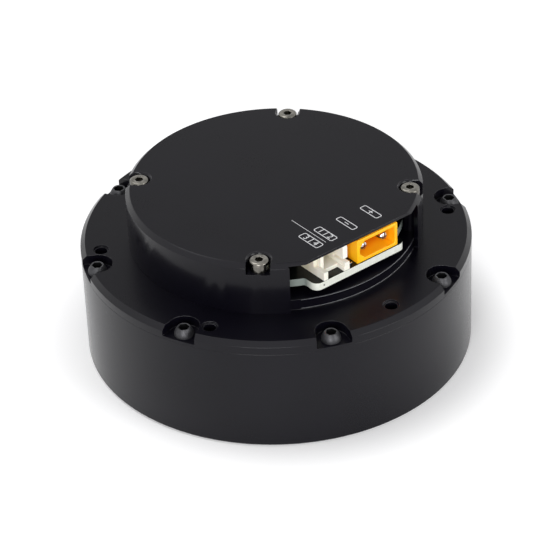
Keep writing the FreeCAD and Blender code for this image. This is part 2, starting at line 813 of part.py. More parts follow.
def make_carrier():
    body = new_body("carrier")
    planet_room = (d.planet_teeth * 0.5 + planet_tip) * d.gear_module + d.planet_room
    pad_circle(body, "carrier_blank", 0, 0, carrier_radius, race_top, carrier_top - race_top)
    x, y = at_angle(planet_circle, planet_turn)
    room = drill(body, "planet_pocket", x, y, planet_room, carrier_top, carrier_top - base_top)
    pin_hole = drill(body, "pin_hole", x, y, d.pin_radius, carrier_top, carrier_top - race_top)
    x, y = at_angle(carrier_screw_circle, carrier_screw_turn)
    clearance = drill(body, "screw_hole", x, y, d.carrier_screw_radius + d.fit_gap, carrier_top,
                      carrier_top - race_top)
    repeat(body, "carrier_holes", [room, pin_hole, clearance], d.planet_count)
    drill(body, "carrier_centre", 0, 0, d.carrier_bore, carrier_top, carrier_top - race_top)

    plate = new_body("carrier_plate")
    bearing_lip = d.front_bearing_radius - d.bearing_wall
    turned(plate, "plate_ring", [
        (bearing_lip, carrier_top),
        (carrier_radius, carrier_top),
        (carrier_radius, plate_top),
        (d.front_bearing_radius, plate_top),
        (d.front_bearing_radius, front_bearing_bottom),
        (bearing_lip, front_bearing_bottom),
    ])
    thickness = d.carrier_plate_thickness
    x, y = at_angle(planet_circle, planet_turn)
    pin_hole = drill(plate, "plate_pin_hole", x, y, d.pin_radius, plate_top, thickness)
    x, y = at_angle(carrier_screw_circle, carrier_screw_turn)
    clearance = drill(plate, "plate_screw_hole", x, y, d.carrier_screw_radius + d.fit_gap,
                      plate_top, thickness)
    seat = drill(plate, "plate_screw_seat", x, y, d.carrier_head_radius + d.screw_clearance,
                 plate_top, d.carrier_head_height + d.screw_clearance)
    repeat(plate, "plate_holes", [pin_hole, clearance, seat], d.planet_count)

    pins = new_body("planet_pins")
    x, y = at_angle(planet_circle, planet_turn)
    pin = pad_circle(pins, "planet_pin", x, y, d.pin_radius, race_top, plate_top - race_top)
    repeat(pins, "all_pins", [pin], d.planet_count)

    washers = new_body("planet_washers")
    thickness = d.gear_side_gap - d.washer_gap * 2
    bore = d.pin_radius + d.bush_gap
    features = []
    for side, bottom in (("low", base_top + d.washer_gap), ("high", gear_top + d.washer_gap)):
        washer = pad_circle(washers, side + "_washer", x, y, d.washer_radius, bottom, thickness)
        bore_cut = drill(washers, side + "_washer_bore", x, y, bore, bottom + thickness, thickness)
        features += [washer, bore_cut]
    repeat(washers, "all_washers", features, d.planet_count)
    screw_length = plate_top - d.screw_clearance - d.carrier_head_height - race_top
    socket_screws("carrier_screws", carrier_screw_circle, d.planet_count, carrier_screw_turn,
                  plate_top - d.screw_clearance, d.carrier_head_radius, d.carrier_head_height,
                  d.carrier_screw_radius, screw_length + d.carrier_thread - d.thread_spare,
                  d.carrier_hex)


# ---- ball bearings of the rotor, shielded, so that the shields close the ball space
def make_bearing(name, inner, outer, bottom, width):
    top = bottom + width
    inner_ring = inner + d.bearing_wall
    outer_ring = outer - d.bearing_wall
    shield_edge = inner_ring + d.shield_gap
    body = new_body(name + "_outer")
    turned(body, name + "_outer_ring", [
        (shield_edge, bottom),
        (outer, bottom),
        (outer, top),
        (shield_edge, top),
        (shield_edge, top - d.bearing_shield),
        (outer_ring, top - d.bearing_shield),
        (outer_ring, bottom + d.bearing_shield),
        (shield_edge, bottom + d.bearing_shield),
    ])
    body = new_body(name + "_inner")
    turned(body, name + "_inner_ring", [
        (inner, bottom),
        (inner_ring, bottom),
        (inner_ring, top),
        (inner, top),
    ])


# ---- motor
def make_stator():
    core = new_body("stator_core")
    turned(core, "core_ring", [
        (sleeve_radius, d.stator_base),
        (stator_radius, d.stator_base),
        (stator_radius, stator_top),
        (sleeve_radius, stator_top),
    ])
    share = math.pi / d.slot_count
    outer_half = tooth_neck * share - d.tooth_width / 2
    inner_half = slot_bottom * share - d.tooth_width / 2
    slot_mouth = d.slot_opening / 2
    outline = [
        (slot_bottom, -inner_half), (tooth_neck, -outer_half), (tooth_neck, -slot_mouth),
        (stator_radius + 1, -slot_mouth), (stator_radius + 1, slot_mouth),
        (tooth_neck, slot_mouth), (tooth_neck, outer_half), (slot_bottom, inner_half),
    ]
    slot = mill(core, "winding_slot", outline, stator_top, stator_length)
    repeat(core, "winding_slots", [slot], d.slot_count)

    coils = new_body("stator_coils")
    half = d.tooth_width / 2 + d.coil_lining
    low = d.stator_base - d.coil_lining
    high = stator_top + d.coil_lining
    out = half + d.coil_thickness
    bottom = d.stator_base - d.coil_overhang
    top = stator_top + d.coil_overhang
    cut = d.coil_corner
    sketch = new_sketch(coils, "coil_section", "YZ_Plane", coil_start)
    draw_outline(sketch, [
        (-out, bottom + cut), (-out + cut, bottom), (out - cut, bottom), (out, bottom + cut),
        (out, top - cut), (out - cut, top), (-out + cut, top), (-out, top - cut),
    ])
    draw_outline(sketch, [(-half, low), (half, low), (half, high), (-half, high)])
    coil = grown(coils, "coil", sketch, coil_end - coil_start)
    repeat(coils, "all_coils", [coil], d.slot_count)
    turn_part(coils, 180.0 / driving["slot_count"])


def make_rotor():
    ring = new_body("rotor_ring")
    turned(ring, "back_iron", [
        (ring_radius - d.ring_wall, ring_bottom),
        (ring_radius, ring_bottom),
        (ring_radius, web_bottom),
        (ring_radius - d.ring_wall, web_bottom),
    ])
    magnets = new_body("rotor_magnets")
    bottom = d.stator_base - d.magnet_overlap
    half = d.magnet_width / 2
    block = box_corners(magnet_inner, magnet_outer, -half, half)
    magnet = pad_outline(magnets, "magnet", block, bottom, stator_length + d.magnet_overlap * 2)
    repeat(magnets, "all_magnets", [magnet], d.magnet_count)

    hub = new_body("rotor_hub")
    spacer_radius = d.shaft_radius + d.spacer_wall
    neck_bottom = front_bearing_top + d.spacer_height
    shoulder = d.journal_radius + d.bearing_wall
    turned(hub, "hub_web", [
        (d.shaft_radius, front_bearing_top),
        (spacer_radius, front_bearing_top),
        (spacer_radius, neck_bottom),
        (shoulder, neck_bottom),
        (shoulder, web_bottom),
        (ring_radius, web_bottom),
        (ring_radius, web_top),
        (shoulder, web_top),
        (shoulder, rear_bearing_bottom),
        (d.journal_radius, rear_bearing_bottom),
        (d.journal_radius, rear_bearing_top),
        (d.shaft_radius, rear_bearing_top),
    ])
    window = drill(hub, "web_window", web_window_circle, 0, d.web_window_radius, web_top,
                   d.web_thickness)
    repeat(hub, "web_windows", [window], d.web_window_count)

    disc = new_body("encoder_magnet")
    pad_circle(disc, "encoder_disc", 0, 0, d.encoder_radius, magnet_bottom, d.encoder_thickness)


def make_phase_leads():
    """Three flat leads: under the rotor, up a channel in the wall, then in to the board."""
    thickness = d.lead_thickness.value
    floor = d.front_wall.value - d.channel_depth.value
    wall = -channel_radius.value
    ceiling = d.shell_height.value + d.tunnel_height.value
    gap = d.lead_gap.value
    inner = -(lead_slot_inner.value + lead_slot_outer.value) / 2 + thickness / 2
    start = -(coil_start.value + d.lead_start.value)
    under_coil = d.stator_base.value - d.coil_overhang.value
    centre_line = [
        (start, under_coil), (start, floor + gap + thickness / 2),
        (wall + gap + thickness / 2, floor + gap + thickness / 2),
        (wall + gap + thickness / 2, ceiling - gap - thickness / 2),
        (inner - thickness / 2, ceiling - gap - thickness / 2),
        (inner - thickness / 2, board_bottom.value),
    ]
    half = thickness / 2
    runs = [unit(end[0] - start[0], end[1] - start[1])
            for start, end in zip(centre_line, centre_line[1:])]
    outer_side = []
    inner_side = []
    for i, (x, z) in enumerate(centre_line):
        into = runs[max(i - 1, 0)]
        out = runs[min(i, len(runs) - 1)]
        side = (-into[1], into[0]) if into == out else (-(into[1] + out[1]), into[0] + out[0])
        outer_side.append(Vector(x + side[0] * half, 0, z + side[1] * half))
        inner_side.append(Vector(x - side[0] * half, 0, z - side[1] * half))
    outline = outer_side + inner_side[::-1]
    face = Part.Face(Part.makePolygon(outline + outline[:1]))
    leads = []
    for number in (-1, 0, 1):
        lead = face.extrude(Vector(0, d.lead_width.value, 0))
        lead.translate(Vector(0, number * d.lead_pitch.value - d.lead_width.value / 2, 0))
        leads.append(lead)
    plain_part("phase_leads", Part.makeCompound(leads))


def unit(x, z):
    length = math.hypot(x, z)
    return x / length, z / length


# ---- electronics
def make_board():
    body = new_body("control_board")
    pad_circle(body, "board_disc", 0, 0, board_radius, board_bottom, d.board_thickness)
    tab = box_corners(-d.tab_half, d.tab_half, -board_front, -pillar_circle)
    tab_pad = pad_outline(body, "board_tab", tab, board_bottom, d.board_thickness)
    doc.recompute()
    corners = upright_edges(tab_pad.Shape, -board_front.value)
    fillet = body.newObject("PartDesign::Fillet", "board_corners")
    fillet.Base = (tab_pad, corners)
    fillet.setExpression("Radius", d.board_corner.text)
    body.Tip = fillet
    x, y = at_angle(cap_circle, cap_turn)
    notch = drill(body, "post_notch", x, y, d.board_notch, board_top, d.board_thickness)
    repeat(body, "post_notches", [notch], d.cap_screw_count)
    x, y = at_angle(pillar_circle, planet_turn)
    hole = drill(body, "board_hole", x, y, d.screw_radius + d.screw_clearance, board_top,
                 d.board_thickness)
    repeat(body, "board_holes", [hole], d.pillar_count)


def upright_edges(shape, y):
    """Names of the vertical edges that stand on the line at y."""
    names = []
    for index, edge in enumerate(shape.Edges, start=1):
        ends = [vertex.Point for vertex in edge.Vertexes]
        upright = len(ends) == 2 and abs(ends[0].z - ends[1].z) > 1
        if upright and all(abs(end.y - y) < 1e-3 for end in ends):
            names.append("Edge%d" % index)
    return names


def make_connectors():
    shell = new_body("power_connector")
    left = d.power_centre - d.power_width / 2
    right = d.power_centre + d.power_width / 2
    face = board_front - d.power_setback
    pad_outline(shell, "power_block", box_corners(left, right, -face, -face + d.power_length),
                board_top, d.power_height)
    cavity = new_sketch(shell, "power_cavity_section", "XZ_Plane", face)
    inset = d.power_wall
    top = board_top + d.power_height
    cut = d.power_wall * 1.6
    draw_outline(cavity, [
        (left + inset, board_top + inset + cut), (left + inset + cut, board_top + inset),
        (right - inset, board_top + inset), (right - inset, top - inset),
        (left + inset + cut, top - inset), (left + inset, top - inset - cut),
    ])
    grown(shell, "power_cavity", cavity, d.power_cavity, "PartDesign::Pocket", upward=False)

    pins = new_body("power_pins")
    middle = board_top + d.power_height / 2
    section = new_sketch(pins, "power_pin_section", "XZ_Plane", face - d.power_pin_setback)
    for side in (-0.5, 0.5):
        draw_circle(section, d.power_centre + d.power_pitch * side, middle, d.power_pin_radius)
    grown(pins, "power_pin", section, d.power_cavity - d.power_pin_setback, upward=False)

    header = new_body("signal_header")
    left = d.header_centre - d.header_width / 2
    right = d.header_centre + d.header_width / 2
    back = -board_front + d.header_length
    block_front = -board_front + d.foot_reach
    header_top = board_top + d.header_height
    pad_outline(header, "header_block", box_corners(left, right, block_front, back), board_top,
                d.header_height)
    foot = box_corners(left, left + d.left_foot, -board_front, block_front)
    pad_outline(header, "header_left_foot", foot, board_top, d.foot_height)
    foot = box_corners(right - d.right_foot, right, -board_front, block_front)
    pad_outline(header, "header_right_foot", foot, board_top, d.foot_height)
    inner_right = right - d.header_right_wall
    wing = box_corners(inner_right, right, block_front - d.wing_reach, block_front)
    wing_pad = pad_outline(header, "header_wing", wing, board_top, d.header_height)
    doc.recompute()
    fillet = header.newObject("PartDesign::Fillet", "wing_rounding")
    fillet.Base = (wing_pad, top_front_edges(wing_pad.Shape, header_top.value))
    fillet.setExpression("Radius", d.wing_rounding.text)
    header.Tip = fillet
    cavity_back = back - d.header_back_wall
    cavity = box_corners(left + d.header_left_wall, inner_right, -board_front - 1, cavity_back)
    mill(header, "header_cavity", cavity, header_top, d.header_height - d.header_floor)
    ledge = box_corners(left - 1, left + d.ledge_width, block_front - 1,
                        block_front + d.ledge_length)
    mill(header, "header_ledge", ledge, header_top, d.header_height - d.foot_height)
    slot = box_corners(inner_right - 1, right + 1, -board_front - 1,
                       -board_front + d.wing_slot_length)
    mill(header, "header_wing_slot", slot, board_top + d.foot_height + d.wing_slot, d.wing_slot)

    pins = new_body("signal_pins")
    pins_front = board_front - d.signal_setback
    section = new_sketch(pins, "signal_pin_section", "XZ_Plane", pins_front)
    low = board_top + d.header_floor + d.signal_rise
    middle = (left + d.header_left_wall + inner_right) / 2
    for number in (-1, 0, 1):
        side = middle + d.signal_pitch * number - d.signal_pin / 2
        draw_outline(section, box_corners(side, side + d.signal_pin, low, low + d.signal_pin))
    grown(pins, "signal_pin", section, pins_front + cavity_back, upward=False)


def top_front_edges(shape, top):
    """Names of the edges along X at the top of a block's front faces."""
    names = []
    for index, edge in enumerate(shape.Edges, start=1):
        ends = [vertex.Point for vertex in edge.Vertexes]
        level = len(ends) == 2 and all(abs(end.z - top) < 1e-3 for end in ends)
        if level and abs(ends[0].y - ends[1].y) < 1e-3 and ends[0].y < -board_front.value * 0.85:
            names.append("Edge%d" % index)
    return names


def make_board_parts():
    """Chips and passives on the board's upper face, and the encoder chip under its centre."""
    body = new_body("board_chips")
    # name: centre as shares of the board's radius, then width, depth and height
    chips = {
        "controller": (-0.16, 0.12, 7.0, 7.0, 1.0),
        "gate_driver": (0.26, 0.18, 5.0, 5.0, 0.9),
        "switch_a": (0.53, 0.16, 5.2, 6.0, 1.1),
        "switch_b": (0.53, -0.16, 5.2, 6.0, 1.1),
        "switch_c": (0.26, -0.18, 5.2, 6.0, 1.1),
        "transceiver": (-0.34, -0.37, 5.0, 4.0, 1.4),
        "regulator": (-0.49, 0.35, 4.0, 4.0, 1.6),
        "capacitor_a": (0.18, 0.57, 5.0, 4.0, 3.0),
        "capacitor_b": (-0.18, 0.57, 5.0, 4.0, 3.0),
    }
    for name, (across, along, width, depth, height) in chips.items():
        x = board_radius * across
        y = board_radius * along
        corners = box_corners(x - width / 2, x + width / 2, y - depth / 2, y + depth / 2)
        pad_outline(body, name, corners, board_top, height)
    chip = new_body("encoder_chip")
    half = d.encoder_chip_size / 2
    pad_outline(chip, "encoder_package", box_corners(-half, half, -half, half),
                board_bottom - d.encoder_chip_height, d.encoder_chip_height)


def make_screws():
    rim_floor = flange_top - d.rim_pocket_depth
    socket_screws("rim_screws", rim_circle, d.rim_screw_count, rim_turn, rim_floor + d.rim_head_height,
                  d.rim_head_radius, d.rim_head_height, d.screw_radius, d.rim_screw_length,
                  d.rim_hex)
    cap_floor = cap_top - d.cap_pocket_depth
    socket_screws("cap_screws", cap_circle, d.cap_screw_count, cap_turn, cap_floor + d.cap_head_height,
                  d.cap_head_radius, d.cap_head_height, d.screw_radius,
                  cap_floor - boss_top + d.cap_screw_reach, d.cap_hex)
    reach = board_top - recess_top - d.pillar_floor - d.board_screw_spare
    socket_screws("board_screws", pillar_circle, d.pillar_count, planet_turn,
                  board_top + d.board_screw_head_height, d.board_screw_head,
                  d.board_screw_head_height, d.screw_radius, reach, d.rim_hex)


def check_and_write():
    doc.recompute()
    broken = [item.Name for item in doc.Objects if {"Invalid", "Error"} & set(item.State)]
    if broken:
        raise SystemExit("features that failed: " + ", ".join(broken))
    os.makedirs("parts", exist_ok=True)
    pieces = [item for item in doc.Objects
              if item.TypeId == "PartDesign::Body" or item.TypeId == "Part::Feature"]
    for piece in pieces:
        if piece.Shape.isNull() or not piece.Shape.isValid():
            raise SystemExit("bad shape: " + piece.Label)
    for piece in pieces:
        piece.Shape.exportStep("parts/%s.step" % piece.Label)
        print("%-24s solids %3d volume %9.2f" % (piece.Label, len(piece.Shape.Solids),
                                                 piece.Shape.Volume))
    print(len(pieces), "sub-parts written")


make_front_housing()
make_rear_plate()
make_electronics_cap()
make_gears()
make_output_bearing()
make_output_flange()
make_carrier()
make_bearing("front_bearing", d.shaft_radius, d.front_bearing_radius, front_bearing_bottom,
             d.front_bearing_width)
make_bearing("rear_bearing", d.journal_radius, d.rear_bearing_radius, rear_bearing_bottom,
             d.rear_bearing_width)
make_stator()
make_rotor()
make_phase_leads()
make_board()
make_connectors()
make_board_parts()
make_screws()
check_and_write()
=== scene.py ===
# Robot joint actuator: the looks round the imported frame. Metres; the axis is Z and the ports face -Y.
import bpy
import bmesh
import math
from mathutils import Matrix, Vector


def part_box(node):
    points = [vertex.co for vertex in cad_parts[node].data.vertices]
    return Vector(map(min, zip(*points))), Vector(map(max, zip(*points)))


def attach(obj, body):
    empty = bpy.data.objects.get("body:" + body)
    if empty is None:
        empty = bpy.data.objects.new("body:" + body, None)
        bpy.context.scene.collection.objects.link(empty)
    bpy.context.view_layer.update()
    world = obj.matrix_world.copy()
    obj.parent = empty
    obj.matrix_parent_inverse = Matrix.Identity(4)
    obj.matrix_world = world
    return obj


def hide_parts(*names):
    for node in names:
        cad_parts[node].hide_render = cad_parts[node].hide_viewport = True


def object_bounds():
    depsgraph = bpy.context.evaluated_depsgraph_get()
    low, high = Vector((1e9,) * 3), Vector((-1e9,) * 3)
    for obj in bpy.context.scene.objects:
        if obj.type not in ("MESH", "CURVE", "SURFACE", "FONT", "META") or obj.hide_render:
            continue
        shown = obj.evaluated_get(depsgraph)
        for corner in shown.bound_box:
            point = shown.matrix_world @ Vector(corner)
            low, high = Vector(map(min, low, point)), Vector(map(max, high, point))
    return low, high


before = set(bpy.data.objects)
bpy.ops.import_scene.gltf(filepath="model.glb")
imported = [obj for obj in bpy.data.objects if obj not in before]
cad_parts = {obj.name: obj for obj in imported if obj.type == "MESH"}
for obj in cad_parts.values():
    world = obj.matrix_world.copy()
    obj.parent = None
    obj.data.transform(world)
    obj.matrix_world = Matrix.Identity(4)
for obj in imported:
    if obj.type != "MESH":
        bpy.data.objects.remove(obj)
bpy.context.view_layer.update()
scene = bpy.context.scene
mm = 0.001
print("frame loaded:", len(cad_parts), "nodes")


class Wire:
    # a shader socket that takes part in Python arithmetic
    def __init__(self, tree, socket):
        self.tree = tree
        self.socket = socket

    def __add__(self, other):
        return self.tree.maths("ADD", self, other)

    def __radd__(self, other):
        return self.tree.maths("ADD", other, self)

    def __sub__(self, other):
        return self.tree.maths("SUBTRACT", self, other)

    def __rsub__(self, other):
        return self.tree.maths("SUBTRACT", other, self)

    def __mul__(self, other):
        return self.tree.maths("MULTIPLY", self, other)

    def __rmul__(self, other):
        return self.tree.maths("MULTIPLY", other, self)

    def __gt__(self, other):
        return self.tree.maths("GREATER_THAN", self, other)

    def __lt__(self, other):
        return self.tree.maths("LESS_THAN", self, other)


class ShaderTree:
    # the shader nodes of a material or of the world
    def __init__(self, owner, shader):
        owner.use_nodes = True
        self.owner = owner
        self.nodeTree = owner.node_tree
        self.shader = self.nodeTree.nodes[shader]

    def plug(self, socket, value):
        if isinstance(value, Wire):
            self.nodeTree.links.new(value.socket, socket)
        else:
            socket.default_value = value

    def node(self, kind, settings=None, sockets=None, output=0):
        made = self.nodeTree.nodes.new(kind)
        for key, value in (settings or {}).items():
            setattr(made, key, value)
        for key, value in (sockets or {}).items():
            self.plug(made.inputs[key], value)
        return Wire(self, made.outputs[output])

    def maths(self, operation, *values):
        return self.node("ShaderNodeMath", {"operation": operation}, dict(enumerate(values)))

    def range(self, value, low, high, fromLow=0.0, fromHigh=1.0):
        return self.node("ShaderNodeMapRange", {"clamp": True},
                         {"Value": value, "From Min": fromLow, "From Max": fromHigh,
                          "To Min": low, "To Max": high})

    def share(self, value, low, high):
        # 0 up to the low value and 1 from the high one on
        return self.range(value, 0.0, 1.0, low, high)

    def blend(self, factor, first, second):
        return self.node("ShaderNodeMix", {"data_type": "RGBA", "clamp_factor": True},
                         {"Factor": factor, 6: first, 7: second}, output=2)

    def set(self, values):
        for key, value in values.items():
            self.plug(self.shader.inputs[key], value)
        return self.owner


class Finish(ShaderTree):
    def __init__(self, name):
        super().__init__(bpy.data.materials.new(name), "Principled BSDF")
        self.place = self.node("ShaderNodeTexCoord", output="Object")

    def part(self, axis, vector=None):
        return self.node("ShaderNodeSeparateXYZ", sockets={0: vector or self.place}, output=axis)

    def noise(self, scale, detail=3.0, place=None, rough=0.5):
        return self.node("ShaderNodeTexNoise", {"noise_dimensions": "3D"},
                         {"Vector": place or self.place, "Scale": scale, "Detail": detail,
                          "Roughness": rough})

    def rings(self, pitch):
        # fine tool marks round Z, on the flats as rings and on the walls as lines
        x, y = self.part("X"), self.part("Y")
        radius = self.maths("SQRT", x * x + y * y)
        along = self.node("ShaderNodeCombineXYZ", sockets={0: radius + self.part("Z") * 1.7})
        return self.noise(1.0 / pitch, 2.0, along, 0.6)

    def flatness(self):
        # 1 where a face looks straight up or down, 0 on an upright wall
        return self.maths("ABSOLUTE", self.part("Z", self.node("ShaderNodeNewGeometry", output="Normal")))

    def mark(self, name):
        # a number that the piece's faces carry
        return self.node("ShaderNodeAttribute", {"attribute_name": name}, output="Fac")

    def relief(self, height, distance, under=None):
        sockets = {"Height": height, "Distance": distance, "Strength": 1.0}
        if under:
            sockets["Normal"] = under
        return self.node("ShaderNodeBump", sockets=sockets)


def colour(red, green, blue):
    # written as seen on screen, 0 to 255
    share = [v / 255 for v in (red, green, blue)]
    return tuple(v / 12.92 if v <= 0.04045 else ((v + 0.055) / 1.055) ** 2.4 for v in share) + (1.0,)


# the walls carry a thin glossy seal, which fades out where the flatness passes from one limit to the other
anodised = {"dark": (5, 4, 11), "light": (9, 8, 16), "rubbedAndHighlit": (80, 80, 83),
            "roughness": (0.25, 0.37), "specular": 0.105,
            "sealWeight": 0.95, "sealFades": (0.74, 0.96), "sealIndex": 1.3, "sealRoughness": 0.15,
            "cloudScale": 60.0, "speckScale": 5200.0, "speckDepth": 0.003 * mm,
            "wearAndHighlightScale": 700.0, "ringPitch": 0.16 * mm, "ringDepth": 0.0012 * mm}


def makeAnodised():
    f = Finish("blackAnodised")
    cloud = f.noise(anodised["cloudScale"], 4.0)
    speck = f.noise(anodised["speckScale"], 2.0)
    body = f.blend(f.share(cloud, 0.3, 0.7), colour(*anodised["dark"]), colour(*anodised["light"]))
    # the eased edges are lightened: partly rubbed wear, partly a painted highlight along the edges
    rubAndHighlight = f.mark("edgeWearAndHighlight") * f.range(f.noise(anodised["wearAndHighlightScale"]), 0.25, 1.0, 0.42, 0.62)
    turned = f.rings(anodised["ringPitch"])
    return f.set({"Base Color": f.blend(rubAndHighlight, body, colour(*anodised["rubbedAndHighlit"])),
                  "Roughness": f.range(cloud * 0.5 + speck * 0.5, *anodised["roughness"], 0.3, 0.7),
                  "Specular IOR Level": anodised["specular"],
                  "Coat Weight": f.range(f.flatness(), anodised["sealWeight"], 0.0, *anodised["sealFades"]),
                  "Coat Roughness": anodised["sealRoughness"], "Coat IOR": anodised["sealIndex"],
                  "Normal": f.relief(turned, anodised["ringDepth"], f.relief(speck, anodised["speckDepth"]))})


def makeMetal(name, low, high, roughness, spread, scale=900.0, metallic=1.0, socket=None):
    # stained between two colours, and a screw's hexagon socket may be darkened with painted shade
    f = Finish(name)
    body = f.blend(f.share(f.noise(scale, 4.0), 0.32, 0.68), colour(*low), colour(*high))
    if socket:
        body = f.blend(f.mark("socketShadeMask"), body, colour(*socket))
    fine = f.noise(scale * 6, 2.0)
    return f.set({"Base Color": body, "Metallic": metallic,
                  "Roughness": f.range(fine, roughness - spread, roughness + spread, 0.3, 0.7),
                  "Normal": f.relief(fine, 0.003 * mm)})


# painted shade: the colour deepens between two distances behind the front of the ports, up to the share
# shadeMost
moulded = {"flowScale": 260.0, "pitScale": 3800.0, "pitDepth": 0.006 * mm, "scatter": 1.2 * mm,
           "shadeFrom": 1.8 * mm, "shadeTo": 5.0 * mm, "shadeMost": 0.85}


def makeMoulded(name, low, high, roughness, scatter=0.0, glow=(0, 0, 0), paintedShade=None):
    # light that passes through the thin walls is given as scatter, and the faint glow is painted light: an
    # emission that brightens the plastic though it is no lamp
    f = Finish(name)
    pit = f.noise(moulded["pitScale"], 2.0)
    body = f.blend(f.share(f.noise(moulded["flowScale"]), 0.3, 0.7), colour(*low), colour(*high))
    if paintedShade:
        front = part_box("signal_header")[0].y
        shade = f.range(f.part("Y"), 0.0, moulded["shadeMost"],
                        front + moulded["shadeFrom"], front + moulded["shadeTo"])
        body = f.blend(shade, body, colour(*paintedShade))
    return f.set({"Base Color": body,
                  "Roughness": f.range(pit, roughness - 0.06, roughness + 0.08, 0.3, 0.7),
                  "Subsurface Weight": scatter, "Subsurface Scale": moulded["scatter"],
                  "Emission Color": (*glow, 1), "Emission Strength": 1.0 if any(glow) else 0.0,
                  "Normal": f.relief(pit, moulded["pitDepth"])})


laminate = {"mask": ((6, 8, 7), (11, 15, 13)), "maskRoughness": 0.3, "copperScale": 420.0,
            "edge": ((206, 210, 198), (244, 245, 238)), "edgeRoughness": 0.62, "layerWave": 26000.0,
            "shaded": (130, 139, 134), "shadeFrom": 1.2 * mm, "shadeTo": 3.0 * mm,
            "weaveScale": 1500.0, "weaveDepth": 0.008 * mm, "specular": 0.25}


def makeBoard():
    # solder mask on the faces, glass fibre layers on the edge, which is in shade towards the back
    f = Finish("boardLaminate")
    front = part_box("control_board")[0].y
    onFace = f.flatness() > 0.5
    layer = f.maths("SINE", f.part("Z") * laminate["layerWave"])
    weave = f.noise(laminate["weaveScale"])
    edge = f.blend(f.share(layer * 0.6 + weave, 0.0, 1.2), *[colour(*tone) for tone in laminate["edge"]])
    shade = f.share(f.part("Y"), front + laminate["shadeFrom"], front + laminate["shadeTo"])
    edge = f.blend(shade, edge, colour(*laminate["shaded"]))
    copper = f.share(f.noise(laminate["copperScale"], 1.0), 0.48, 0.52)
    mask = f.blend(copper, *[colour(*tone) for tone in laminate["mask"]])
    return f.set({"Base Color": f.blend(onFace, edge, mask),
                  "Roughness": f.range(onFace, laminate["edgeRoughness"], laminate["maskRoughness"]),
                  "Specular IOR Level": laminate["specular"],
                  "Normal": f.relief(weave, laminate["weaveDepth"])})


winding = {"dark": (120, 54, 22), "light": (205, 116, 62), "roughness": (0.42, 0.28),
           "ringPitch": 0.4 * mm, "ringWave": 40.0, "wave": 9000.0, "depth": 0.08 * mm}


def makeWinding():
    # enamelled wire turns wrapped round each tooth
    f = Finish("copperWinding")
    turns = f.maths("SINE", f.rings(winding["ringPitch"]) * winding["ringWave"]
                    + f.part("Z") * winding["wave"])
    body = f.blend(f.share(turns, -1.0, 1.0), colour(*winding["dark"]), colour(*winding["light"]))
    return f.set({"Base Color": body, "Metallic": 0.9,
                  "Roughness": f.range(turns, *winding["roughness"], -1.0, 1.0),
                  "Normal": f.relief(turns, winding["depth"])})


laminations = {"dark": (92, 94, 98), "light": (150, 152, 156), "roughness": (0.5, 0.38),
               "sheet": 0.35 * mm, "depth": 0.03 * mm}


def makeLaminations():
    # electrical steel sheets, stacked along the axis
    f = Finish("laminationSteel")
    sheet = f.maths("SINE", f.part("Z") * (2 * math.pi / laminations["sheet"]))
    body = f.blend(f.share(sheet, -1.0, 1.0), colour(*laminations["dark"]), colour(*laminations["light"]))
    return f.set({"Base Color": body, "Metallic": 0.9,
                  "Roughness": f.range(sheet, *laminations["roughness"], -1.0, 1.0),
                  "Normal": f.relief(sheet, laminations["depth"])})


# metals: two colours, roughness and its spread; plastics: two colours and roughness
finishes = {
    "black_aluminium": makeAnodised(),
    # the black screws' sockets are darkened with painted shade
    "black_screw": makeMetal("blackOxide", (47, 47, 50), (69, 69, 72), 0.45, 0.06,
                             scale=700.0, metallic=0.5, socket=(14, 14, 15)),
    "bright_screw": makeMetal("nickelPlate", (98, 96, 91), (136, 133, 126), 0.22, 0.05, scale=1100.0),
    "gear_steel": makeMetal("gearSteel", (142, 144, 148), (176, 178, 182), 0.3, 0.06),
    "bearing_steel": makeMetal("bearingSteel", (178, 180, 184), (206, 208, 212), 0.16, 0.05),
    "lamination_steel": makeLaminations(),
    "back_iron": makeMetal("nickelledIron", (148, 146, 140), (180, 178, 172), 0.3, 0.06),
    "copper_winding": makeWinding(),
    "magnet_plating": makeMetal("magnetPlate", (188, 190, 194), (214, 216, 220), 0.24, 0.06),
    "bush_bronze": makeMetal("sinteredBronze", (150, 104, 56), (186, 136, 80), 0.4, 0.08),
    "bare_aluminium": makeMetal("bareAluminium", (176, 178, 182), (206, 208, 211), 0.34, 0.07),
    "board_laminate": makeBoard(),
    "chip_package": makeMoulded("chipPackage", (26, 26, 28), (38, 38, 40), 0.5),
    "orange_nylon": makeMoulded("orangeNylon", (255, 182, 8), (255, 197, 20), 0.36,
                                scatter=0.1, glow=(0.11, 0.015, 0.0), paintedShade=(222, 116, 0)),
    "cream_nylon": makeMoulded("creamNylon", (236, 231, 218), (243, 239, 229), 0.4,
                               scatter=0.12, glow=(0.09, 0.085, 0.075), paintedShade=(190, 181, 150)),
    "contact_plating": makeMetal("contactPlate", (206, 204, 200), (228, 227, 224), 0.18, 0.05),
}
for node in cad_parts.values():
    for slot in node.material_slots:
        slot.material = finishes[slot.material.name.split(".")[0]]
print("finishes on", len(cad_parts), "frame nodes")


def vertsOf(geom):
    return [part for part in geom if isinstance(part, bmesh.types.BMVert)]


def edgesOf(geom):
    return [part for part in geom if isinstance(part, bmesh.types.BMEdge)]


def everything(bm):
    return bm.verts[:] + bm.edges[:] + bm.faces[:]


def sharpEdges(bm, degrees):
    return [edge for edge in bm.edges if edge.is_manifold and edge.calc_face_angle() > math.radians(degrees)]


def ease(bm, edges, width, segments=2):
    return bmesh.ops.bevel(bm, geom=list(edges), offset=width, offset_type="OFFSET", affect="EDGES",
                           segments=segments, profile=0.5, material=-1, clamp_overlap=True)["faces"]


def block(bm, low, high, width=0.0):
    # a box between two corners, with eased edges
    middle = (Vector(low) + Vector(high)) / 2
    size = Vector(high) - Vector(low)
    place = Matrix.Translation(middle) @ Matrix.Diagonal((*size, 1.0))
    made = bmesh.ops.create_cube(bm, size=1.0, matrix=place)
    if width:
        ease(bm, {edge for vert in made["verts"] for edge in vert.link_edges}, width)


